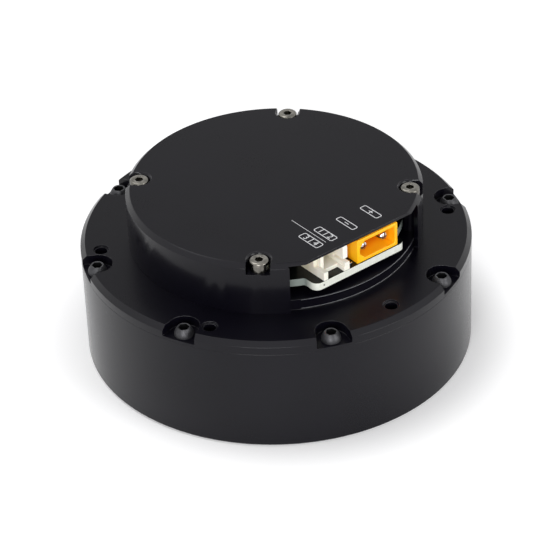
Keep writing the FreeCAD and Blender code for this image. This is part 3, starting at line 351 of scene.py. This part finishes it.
def pour(bm, target, place=Matrix()):
    # adds one shape to another, at its place
    bmesh.ops.recalc_face_normals(bm, faces=bm.faces)
    mesh = bpy.data.meshes.new("poured")
    bm.to_mesh(mesh)
    bm.free()
    mesh.transform(place)
    target.from_mesh(mesh)
    bpy.data.meshes.remove(mesh)


def lay(name, bm, slotName, body, nodes=(), angle=32.0, weigh=False):
    # makes a finished piece of a shape, smooth up to the angle, and fixes it to its body
    bmesh.ops.recalc_face_normals(bm, faces=bm.faces)
    mesh = bpy.data.meshes.new(name)
    bm.to_mesh(mesh)
    bm.free()
    for polygon in mesh.polygons:
        polygon.use_smooth = True
    mesh.set_sharp_from_angle(angle=math.radians(angle))
    mesh.materials.append(finishes[slotName])
    piece = bpy.data.objects.new(name, mesh)
    scene.collection.objects.link(piece)
    if weigh:
        weighted = piece.modifiers.new("faceWeights", "WEIGHTED_NORMAL")
        weighted.weight = 100
        weighted.keep_sharp = True
    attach(piece, body)
    slotName != "white_print"
    if nodes:
        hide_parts(*nodes)


capShape = {"pockets": 4, "turn": 45.0, "circle": 26.85 * mm, "pocket": 2.5 * mm, "pocketDepth": 3.0 * mm,
            "snug": 2.12 * mm, "lead": 0.26 * mm, "printDepth": 0.015 * mm, "closeTo": 0.02 * mm}


def shapeCap(bm):
    # screw pockets that hug their heads below a wide lead-in, and a top set back by the print's thickness
    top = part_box("electronics_cap")[1].z
    bmesh.ops.bisect_plane(bm, geom=everything(bm), dist=1e-7,
                           plane_co=(0, 0, top - capShape["lead"]), plane_no=(0, 0, 1))
    ceiling = top - capShape["lead"] + capShape["closeTo"]
    for number in range(capShape["pockets"]):
        angle = math.radians(capShape["turn"] + 360 / capShape["pockets"] * number)
        centre = Vector((math.cos(angle), math.sin(angle), 0)) * capShape["circle"]
        for vert in bm.verts:
            across = Vector((vert.co.x, vert.co.y, 0)) - centre
            onWall = abs(across.length - capShape["pocket"]) < capShape["closeTo"]
            if onWall and top - capShape["pocketDepth"] < vert.co.z < ceiling:
                across *= capShape["snug"] / capShape["pocket"]
                vert.co.x, vert.co.y = centre.x + across.x, centre.y + across.y
    for vert in bm.verts:
        if abs(vert.co.z - top) < capShape["closeTo"]:
            vert.co.z -= capShape["printDepth"]


boardShape = {"cornerRound": 1.3 * mm, "cornersBefore": -17.0 * mm, "cornersBeyond": 8.0 * mm}


def shapeBoard(bm):
    # the routed corners where the tab meets the round part
    corners = []
    for edge in sharpEdges(bm, 30):
        start, end = [vert.co for vert in edge.verts]
        upright = (start.xy - end.xy).length < 1e-7
        if upright and start.y < boardShape["cornersBefore"] and abs(start.x) > boardShape["cornersBeyond"]:
            corners.append(edge)
    print("board corners rounded:", len(corners))
    ease(bm, corners, boardShape["cornerRound"], 6)


# width of the broken edges, radius within which they are lightened as rubbed wear and painted highlight, and
# what reshapes the piece
easing = {"front_housing": (0.12 * mm, 0.0, None), "rear_plate": (0.1 * mm, 37.6 * mm, None),
          "electronics_cap": (0.08 * mm, 28.2 * mm, shapeCap), "signal_header": (0.13 * mm, 0.0, None),
          "control_board": (0.05 * mm, 0.0, shapeBoard)}


def easedCopy(node, width, body, wearAndHighlightWithin, shape):
    # the frame's own shape with its sharp edges broken, and reshaped a little first where asked
    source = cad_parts[node]
    bm = bmesh.new()
    bm.from_mesh(source.data)
    bmesh.ops.remove_doubles(bm, verts=bm.verts, dist=0.001 * mm)
    bmesh.ops.dissolve_limit(bm, angle_limit=math.radians(0.5), verts=bm.verts, edges=bm.edges)
    if shape:
        shape(bm)
    sharp = sharpEdges(bm, 34)
    # eased faces within the radius carry the lighter colour: rubbed wear and painted highlight
    wornAndHighlit = bm.faces.layers.float.new("edgeWearAndHighlight")
    for face in ease(bm, sharp, width):
        face[wornAndHighlit] = float(face.calc_center_median().xy.length < wearAndHighlightWithin)
    bmesh.ops.dissolve_degenerate(bm, edges=bm.edges, dist=0.002 * mm)
    finish = source.material_slots[0].material
    slotName = next(key for key, made in finishes.items() if made == finish)
    lay(node + "_shell", bm, slotName, body, [node], 38.0, weigh=True)


for node, (width, wearAndHighlightWithin, shape) in easing.items():
    easedCopy(node, width, "housing", wearAndHighlightWithin, shape)
print("edges eased on", len(easing), "pieces")

# twists are the turns of the hexagons, in radians, one screw after the other
capScrew = {"count": 4, "turn": 45.0, "headRadius": 1.88 * mm, "headHeight": 2.1 * mm,
            "easeOut": 0.28 * mm, "easeDown": 0.28 * mm, "shankRadius": 1.0 * mm,
            "hexAcross": 1.5 * mm, "hexDepth": 1.1 * mm, "hexEase": 0.12 * mm,
            "twists": (0.2, 0.5, 0.35, 0.1)}
rimScrew = {"count": 8, "turn": 22.5, "headRadius": 1.9 * mm, "headHeight": 1.75 * mm,
            "easeOut": 0.66 * mm, "easeDown": 1.3 * mm, "shankRadius": 1.0 * mm,
            "hexAcross": 1.9 * mm, "hexDepth": 1.4 * mm, "hexEase": 0.1 * mm,
            "twists": (0.1, 0.45, 0.8, 0.3, 0.6, 0.0, 0.9, 0.25)}
screwShape = {"cutsPerSide": 7, "shoulderSteps": 6, "shoulderBend": 1.5, "tip": 0.3 * mm,
              "hexSlope": 0.6, "closeTo": 0.01 * mm}


def socketScrew(bm, spec, top, length):
    # one socket-head screw on the Z axis, grown outwards from the floor of its hexagon
    corner = spec["hexAcross"] / math.sqrt(3)
    floor = top - spec["hexDepth"]
    made = bmesh.ops.create_circle(bm, cap_ends=True, segments=6, radius=corner,
                                   matrix=Matrix.Translation((0, 0, floor)))
    floorEdges = list({edge for vert in made["verts"] for edge in vert.link_edges})
    bmesh.ops.subdivide_edges(bm, edges=floorEdges, cuts=screwShape["cutsPerSide"])
    rim = [edge for edge in bm.edges if edge.is_boundary]

    def ring(edges, height, reach=None):
        # the next outline, at its height; it keeps the shape of the last where no reach is given
        grown = bmesh.ops.extrude_edge_only(bm, edges=edges)["geom"]
        for vert in vertsOf(grown):
            flat = Vector((vert.co.x, vert.co.y, 0))
            if reach:
                flat = flat.normalized() * reach
            vert.co = (flat.x, flat.y, height)
        return edgesOf(grown)

    head, shank, steps = spec["headRadius"], spec["shankRadius"], screwShape["shoulderSteps"]
    under = top - spec["headHeight"]
    rim = ring(rim, top - spec["hexEase"] * screwShape["hexSlope"])
    rim = ring(rim, top, corner + spec["hexEase"])
    rim = ring(rim, top, head - spec["easeOut"])
    for step in range(1, steps + 1):
        inward = spec["easeOut"] * (1 - step / steps) ** screwShape["shoulderBend"]
        rim = ring(rim, top - spec["easeDown"] * step / steps, head - inward)
    rim = ring(rim, under, head)
    rim = ring(rim, under, shank)
    rim = ring(rim, under - length + screwShape["tip"], shank)
    rim = ring(rim, under - length, shank - screwShape["tip"])
    bmesh.ops.contextual_create(bm, geom=rim)
    # painted shade: the faces down in the hexagon socket are marked to be darker
    socketShadeMask = bm.faces.layers.float.new("socketShadeMask")
    for face in bm.faces:
        above = min(vert.co.z for vert in face.verts) > floor - screwShape["closeTo"]
        within = max(vert.co.xy.length for vert in face.verts) < corner + screwShape["closeTo"]
        face[socketShadeMask] = float(above and within)


def screwSet(name, node, spec, slotName, body):
    # copies one screw to each place on its circle, which the frame's box gives
    low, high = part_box(node)
    count = spec["count"]
    angles = [math.radians(spec["turn"]) + number * 2 * math.pi / count for number in range(count)]
    circle = (high.x - spec["headRadius"]) / max(math.cos(angle) for angle in angles)
    bm = bmesh.new()
    socketScrew(bm, spec, high.z, high.z - low.z - spec["headHeight"])
    first = everything(bm)
    for number, angle in enumerate(angles):
        geom = first if number == count - 1 else bmesh.ops.duplicate(bm, geom=first)["geom"]
        twist = Matrix.Rotation(angle + spec["twists"][number], 4, "Z")
        move = Matrix.Translation((circle * math.cos(angle), circle * math.sin(angle), 0))
        bmesh.ops.transform(bm, matrix=move @ twist, verts=vertsOf(geom))
    lay(name, bm, slotName, body, [node], 35.0, weigh=True)


screwSet("cap_screw_set", "cap_screws", capScrew, "bright_screw", "housing")
screwSet("rim_screw_set", "rim_screws", rimScrew, "black_screw", "housing")
print("screws made")

# the tip gives radius and height as shares of the pin's radius
power = {"wall": 0.75 * mm, "cut": 1.15 * mm, "round": 0.18 * mm, "cavity": 6.2 * mm,
         "pinRadius": 1.0 * mm, "pitch": 5.2 * mm, "setback": 0.95 * mm, "drop": 0.12 * mm,
         "pinSlit": 0.3 * mm, "pinSplit": 2.4 * mm, "pinSteps": 40, "core": 0.94,
         "tip": ((0.0, 0.0), (0.4, 0.0), (0.74, 0.1), (0.93, 0.32), (1.0, 0.7))}


def makePowerShell():
    # its face outline round a mouth with two cut corners, then a back and a cavity pushed in
    low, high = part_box("power_connector")
    cut, wall = power["cut"], power["wall"]
    outer = [(low.x, low.z), (high.x, low.z), (high.x, high.z), (low.x, high.z)]
    inner = [(low.x + wall, low.z + wall + cut), (low.x + wall + cut, low.z + wall),
             (high.x - wall, low.z + wall), (high.x - wall, high.z - wall),
             (low.x + wall + cut, high.z - wall), (low.x + wall, high.z - wall - cut)]
    bm = bmesh.new()

    def outline(points):
        verts = [bm.verts.new((x, low.y, z)) for x, z in points]
        return [bm.edges.new(pair) for pair in zip(verts, verts[1:] + verts[:1])]

    def push(edges, depth):
        grown = bmesh.ops.extrude_edge_only(bm, edges=edges)["geom"]
        bmesh.ops.translate(bm, vec=(0, depth, 0), verts=vertsOf(grown))
        bmesh.ops.contextual_create(bm, geom=edgesOf(grown))

    face, mouth = outline(outer), outline(inner)
    bmesh.ops.triangle_fill(bm, edges=face + mouth, use_beauty=True)
    push(face, high.y - low.y)
    push(mouth, power["cavity"])
    bmesh.ops.recalc_face_normals(bm, faces=bm.faces)
    ease(bm, sharpEdges(bm, 30), power["round"], 3)
    lay("power_shell", bm, "orange_nylon", "housing", ["power_connector"], 40.0, weigh=True)


def makePowerPins():
    # two bullet pins, each split by a cross into four leaves
    low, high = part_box("power_connector")
    middle = ((low.x + high.x) / 2, (low.z + high.z) / 2 - power["drop"])
    radius, split, core = power["pinRadius"], power["pinSplit"], power["pinRadius"] * power["core"]
    long = power["cavity"] - power["setback"]
    stem = [(0, split), (core, split), (core, long), (0, long)]
    tip = [(radius * out, radius * up) for out, up in power["tip"]] + [(radius, split), (0, split)]
    bm = bmesh.new()
    for side in (-0.5, 0.5):
        seat = Matrix.Translation((middle[0] + power["pitch"] * side, low.y + power["setback"], middle[1]))
        seat = seat @ Matrix.Rotation(-math.pi / 2, 4, "X")
        pour(pinPart(stem), bm, seat)
        for across, along in ((-1, -1), (-1, 1), (1, -1), (1, 1)):
            pour(pinPart(tip, (across, along)), bm, seat)
    lay("power_pin_pair", bm, "contact_plating", "housing", ["power_pins"], 35.0)


def pinPart(profile, leaf=None):
    # (radius, height) pairs spun round Z; a leaf keeps the quarter on one side of both cuts
    part = bmesh.new()
    verts = [part.verts.new((radius, 0, height)) for radius, height in profile]
    edges = [part.edges.new(pair) for pair in zip(verts, verts[1:])]
    bmesh.ops.spin(part, geom=verts + edges, cent=(0, 0, 0), axis=(0, 0, 1), dvec=(0, 0, 0),
                   angle=2 * math.pi, steps=power["pinSteps"], use_merge=True, use_duplicate=False)
    bmesh.ops.remove_doubles(part, verts=part.verts, dist=0.0005 * mm)
    if leaf:
        for normal in ((-leaf[0], 0, 0), (0, -leaf[1], 0)):
            cut = bmesh.ops.bisect_plane(part, geom=everything(part), dist=1e-8, plane_no=normal,
                                         plane_co=Vector(normal) * -power["pinSlit"] / 2, clear_outer=True)
            bmesh.ops.contextual_create(part, geom=edgesOf(cut["geom_cut"]))
    return part


# small surface parts: chips gives how far behind the board's front each one is, and its height
smallParts = {"chips": ((1.4 * mm, 0.45 * mm), (3.6 * mm, 0.45 * mm), (6.0 * mm, 0.6 * mm)),
              "width": 0.6 * mm, "length": 1.1 * mm, "ease": 0.05 * mm, "solder": 0.28 * mm,
              "solderOver": 0.03 * mm, "tabAway": 0.1 * mm, "tabBack": 1.0 * mm,
              "tab": Vector((0.6, 1.6, 0.25)) * mm, "tabEase": 0.1 * mm,
              "spotAt": -9.27 * mm, "spotLow": Vector((-0.15, -0.0225, -0.15)) * mm,
              "spotHigh": Vector((0.15, 0.3, 0.15)) * mm}


def chip(bodies, ends, x, y, height, base):
    # a two-ended surface part: its body, with a solder cap at each end
    half, reach, over = smallParts["width"] / 2, smallParts["length"] / 2, smallParts["solderOver"]
    block(bodies, (x - half, y - reach, base), (x + half, y + reach, base + height), smallParts["ease"])
    for side in (-1, 1):
        outer = y + side * reach
        inner = outer - side * smallParts["solder"]
        block(ends, (x - half - over, min(outer, inner), base),
              (x + half + over, max(outer, inner), base + height + over), smallParts["ease"])


def makeBoardTrim():
    # parts in the gap between the ports, the solder tab beside the power port, and a spot on the front edge
    boardLow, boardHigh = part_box("control_board")
    powerLow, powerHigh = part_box("power_connector")
    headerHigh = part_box("signal_header")[1]
    base = boardHigh.z
    bodies, ends = bmesh.new(), bmesh.new()
    for along, height in smallParts["chips"]:
        chip(bodies, ends, (headerHigh.x + powerLow.x) / 2, boardLow.y + along, height, base)
    tab = Vector((powerHigh.x + smallParts["tabAway"], powerLow.y + smallParts["tabBack"], base))
    block(ends, tab, tab + smallParts["tab"], smallParts["tabEase"])
    spot = Vector((smallParts["spotAt"], boardLow.y, (boardLow.z + boardHigh.z) / 2))
    block(bodies, spot + smallParts["spotLow"], spot + smallParts["spotHigh"])
    lay("gap_parts", bodies, "chip_package", "housing")
    lay("gap_solder", ends, "contact_plating", "housing")


bossHighlight = {"radius": 28.3 * mm, "heights": (26.45 * mm, 24.53 * mm), "size": 0.045 * mm,
            "start": -119.0, "sweep": 66.0, "steps": 64}


def makeBossHighlights():
    # painted highlights: thin bright strips along the boss's top and foot edges, where it shows below the
    # board
    bm = bmesh.new()
    size = bossHighlight["size"]
    for height in bossHighlight["heights"]:
        place = Matrix.Rotation(math.radians(bossHighlight["start"]), 4, "Z") @ Matrix.Translation(
            (bossHighlight["radius"] - size * 0.5, 0, height - size * 0.5)) @ Matrix.Rotation(math.pi / 2, 4, "X")
        made = bmesh.ops.create_circle(bm, cap_ends=True, segments=6, radius=size, matrix=place)
        face = made["verts"][0].link_faces[0]
        bmesh.ops.spin(bm, geom=[face] + list(face.edges) + list(face.verts), cent=(0, 0, 0),
                       axis=(0, 0, 1), dvec=(0, 0, 0), angle=math.radians(bossHighlight["sweep"]),
                       steps=bossHighlight["steps"], use_merge=False, use_duplicate=False)
    lay("boss_painted_highlights", bm, "bare_aluminium", "housing")


makePowerShell()
makePowerPins()
makeBoardTrim()
makeBossHighlights()
print("ports made")

# generic port marks, printed on the cap
marks = {"line": 0.17 * mm, "depth": 0.03 * mm, "corner": 0.45 * mm, "digit": 1.95 * mm, "sign": 1.15 * mm,
         "boxes": (
             # centre x, centre y, width across, length along -Y, marks in its cells
             (7.25 * mm, -20.85 * mm, 1.62 * mm, 5.1 * mm, "+"),
             (1.2 * mm, -20.8 * mm, 1.5 * mm, 5.2 * mm, "-"),
             (-4.2 * mm, -20.9 * mm, 1.85 * mm, 5.4 * mm, "12"),
             (-7.75 * mm, -20.8 * mm, 1.95 * mm, 5.6 * mm, "34")),
         # the dividing line: its x, where it starts and ends along Y, and its width
         "rule": (-6.02 * mm, -12.9 * mm, -23.2 * mm, 0.102 * mm),
         "low": (214, 214, 218), "high": (238, 238, 240), "roughness": (0.45, 0.6), "grainScale": 2600.0}


def makePrint():
    f = Finish("whitePrint")
    grain = f.noise(marks["grainScale"])
    body = f.blend(f.share(grain, 0.3, 0.7), colour(*marks["low"]), colour(*marks["high"]))
    return f.set({"Base Color": body, "Roughness": f.range(grain, *marks["roughness"])})


def makeMarks():
    # laid out with X along the reading direction, then turned so that they read towards the ports
    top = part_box("electronics_cap")[1].z
    halfLine, halfSign = marks["line"] / 2, marks["sign"] / 2
    bm = bmesh.new()

    def bar(x1, y1, x2, y2):
        block(bm, (x1, y1, -marks["depth"]), (x2, y2, 0))

    for acrossAt, alongAt, width, length, cells in marks["boxes"]:
        x, y = -alongAt, acrossAt
        frameRing(bm, x, y, length, width)
        cell = length / len(cells)
        inside = width / 2 - marks["line"]
        for number, mark in enumerate(cells):
            start = x - length / 2 + cell * number
            middle = start + cell / 2
            if number:
                bar(start - halfLine, y - inside, start + halfLine, y + inside)
            if mark.isdigit():
                printDigit(bm, mark, middle, y)
            else:
                bar(middle - halfSign, y - halfLine, middle + halfSign, y + halfLine)
            if mark == "+":
                bar(middle - halfLine, y + halfLine, middle + halfLine, y + halfSign)
                bar(middle - halfLine, y - halfSign, middle + halfLine, y - halfLine)
    ruleAt, ruleStart, ruleEnd, ruleWidth = marks["rule"]
    bar(-ruleStart, ruleAt - ruleWidth / 2, -ruleEnd, ruleAt + ruleWidth / 2)
    bmesh.ops.remove_doubles(bm, verts=bm.verts, dist=0.0001 * mm)
    place = Matrix.Translation((0, 0, top)) @ Matrix.Rotation(-math.pi / 2, 4, "Z")
    bmesh.ops.transform(bm, matrix=place, verts=bm.verts)
    lay("port_marks", bm, "white_print", "housing")


def frameRing(bm, x, y, length, width):
    # a rounded outline with an open middle
    ring = bmesh.new()
    place = Matrix.Translation((x, y, 0)) @ Matrix.Diagonal((length, width, 1, 1))
    bmesh.ops.create_grid(ring, x_segments=1, y_segments=1, size=0.5, matrix=place)
    bmesh.ops.bevel(ring, geom=ring.verts[:], offset=marks["corner"], offset_type="OFFSET", affect="VERTICES",
                    segments=4, profile=0.5, material=-1, clamp_overlap=True)
    band = bmesh.ops.inset_region(ring, faces=ring.faces[:], thickness=marks["line"], use_boundary=True,
                                  use_even_offset=True)["faces"]
    middle = [face for face in ring.faces if face not in band]
    bmesh.ops.delete(ring, geom=middle, context="FACES_ONLY")
    grown = bmesh.ops.extrude_face_region(ring, geom=ring.faces[:])["geom"]
    bmesh.ops.translate(ring, vec=(0, 0, -marks["depth"]), verts=vertsOf(grown))
    pour(ring, bm)


def printDigit(bm, mark, x, y):
    text = bpy.data.curves.new("digit", "FONT")
    text.body = mark
    text.size = marks["digit"]
    text.align_x = "CENTER"
    text.align_y = "CENTER"
    text.extrude = marks["depth"] / 2
    thing = bpy.data.objects.new("digit", text)
    scene.collection.objects.link(thing)
    mesh = bpy.data.meshes.new_from_object(thing)
    mesh.transform(Matrix.Translation((x, y, -marks["depth"] / 2)))
    bm.from_mesh(mesh)
    bpy.data.objects.remove(thing)
    bpy.data.curves.remove(text)
    bpy.data.meshes.remove(mesh)


finishes["white_print"] = makePrint()
makeMarks()
print("marks made")

# the floor glows for the camera alone, and less near the object, a painted shadow round its foot
studio = {"floor": ((246, 246, 248), (250, 250, 250)), "paperScale": 40.0, "floorRoughness": 0.7,
          "floorSpecular": 0.1, "floorHole": 38.4 * mm, "floorReach": 4.0,
          "nearGlow": 0.18, "farGlow": 0.36, "glowFrom": 40 * mm, "glowTo": 48 * mm, "worldLight": 0.33}
lamps = {"leftLamp": {"place": (-1.05, -1.0, 0.5), "size": 0.9, "energy": 13.5},
         "rightLamp": {"place": (0.47, -1.4, 0.5), "size": 0.9, "energy": 8.8},
         "topLamp": {"place": (-0.35, 0.6, 1.5), "size": 1.3, "energy": 9.5}}
lampAim = (0, 0, 0.02)
# azimuth, elevation and roll in degrees, pan and tilt in radians, the lens in millimetres
viewpoint = {"azimuth": -37.76, "elevation": 33.93, "roll": 2.32, "distance": 0.5361, "height": 0.018,
             "pan": 0.000944, "tilt": -0.0072, "lens": 174.9, "sensor": 36.0}


def makePaper():
    f = Finish("paleFloor")
    tone = f.blend(f.noise(studio["paperScale"]), *[colour(*tone) for tone in studio["floor"]])
    away = f.node("ShaderNodeVectorMath", {"operation": "LENGTH"}, {0: f.place}, output=1)
    near, far = [(studio[key],) * 3 + (1,) for key in ("nearGlow", "farGlow")]
    # painted shadow: the glow is lower near the object
    glow = f.blend(f.share(away, studio["glowFrom"], studio["glowTo"]), near, far)
    seen = f.node("ShaderNodeLightPath", output="Is Camera Ray")
    return f.set({"Base Color": tone, "Emission Color": f.blend(seen, (0, 0, 0, 1), glow),
                  "Emission Strength": 1.0, "Roughness": studio["floorRoughness"],
                  "Specular IOR Level": studio["floorSpecular"]})


def makeStage():
    # a wide floor, left open where the object stands on it, so that its underside can be looked at
    bm = bmesh.new()
    bmesh.ops.create_circle(bm, segments=128, radius=studio["floorHole"])
    grown = bmesh.ops.extrude_edge_only(bm, edges=list(bm.edges))["geom"]
    spread = studio["floorReach"] / studio["floorHole"]
    bmesh.ops.scale(bm, vec=(spread, spread, 1), verts=vertsOf(grown))
    bmesh.ops.recalc_face_normals(bm, faces=bm.faces)
    bm.normal_update()
    bmesh.ops.reverse_faces(bm, faces=[face for face in bm.faces if face.normal.z < 0])
    mesh = bpy.data.meshes.new("studio_floor")
    bm.to_mesh(mesh)
    bm.free()
    mesh.materials.append(makePaper())
    floor = bpy.data.objects.new("studio_floor", mesh)
    scene.collection.objects.link(floor)
    floor.location.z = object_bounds()[0].z


def makeWorld():
    # white to the camera and in gloss and glass, and plain soft light on everything else
    scene.world = bpy.data.worlds.new("studio")
    sky = ShaderTree(scene.world, "Background")
    camera, gloss, glass = [sky.node("ShaderNodeLightPath", output="Is " + kind + " Ray")
                            for kind in ("Camera", "Glossy", "Transmission")]
    white = sky.maths("MAXIMUM", camera, sky.maths("MAXIMUM", gloss, glass))
    sky.set({"Color": (1, 1, 1, 1), "Strength": sky.range(white, studio["worldLight"], 1.0)})


def addLamp(name, place, size, energy):
    light = bpy.data.lights.new(name, "AREA")
    light.shape = "DISK"
    light.size = size
    light.energy = energy
    lamp = bpy.data.objects.new(name, light)
    lamp.location = place
    lamp.rotation_euler = (Vector(lampAim) - Vector(place)).to_track_quat("-Z", "Y").to_euler()
    scene.collection.objects.link(lamp)


def addCamera():
    turn, rise = math.radians(viewpoint["azimuth"]), math.radians(viewpoint["elevation"])
    back = Vector((math.sin(turn) * math.cos(rise), -math.cos(turn) * math.cos(rise), math.sin(rise)))
    ahead = -back
    right = ahead.cross(Vector((0, 0, 1))).normalized()
    up = right.cross(ahead)
    pan = Matrix.Rotation(viewpoint["pan"], 3, up)
    ahead, right = pan @ ahead, pan @ right
    tilt = Matrix.Rotation(viewpoint["tilt"], 3, right)
    ahead, up = tilt @ ahead, tilt @ up
    roll = Matrix.Rotation(math.radians(viewpoint["roll"]), 3, ahead)
    right, up = roll @ right, roll @ up
    data = bpy.data.cameras.new("camera")
    data.sensor_width = viewpoint["sensor"]
    data.lens = viewpoint["lens"]
    data.clip_start, data.clip_end = 0.01, 20.0
    camera = bpy.data.objects.new("camera", data)
    camera.rotation_mode = "QUATERNION"
    camera.rotation_quaternion = Matrix((right, up, -ahead)).transposed().to_quaternion()
    camera.location = Vector((0, 0, viewpoint["height"])) + back * viewpoint["distance"]
    scene.collection.objects.link(camera)
    scene.camera = camera


makeStage()
makeWorld()
for name, lamp in lamps.items():
    addLamp(name, **lamp)
addCamera()
scene.view_settings.view_transform = "Standard"
print("stage set")
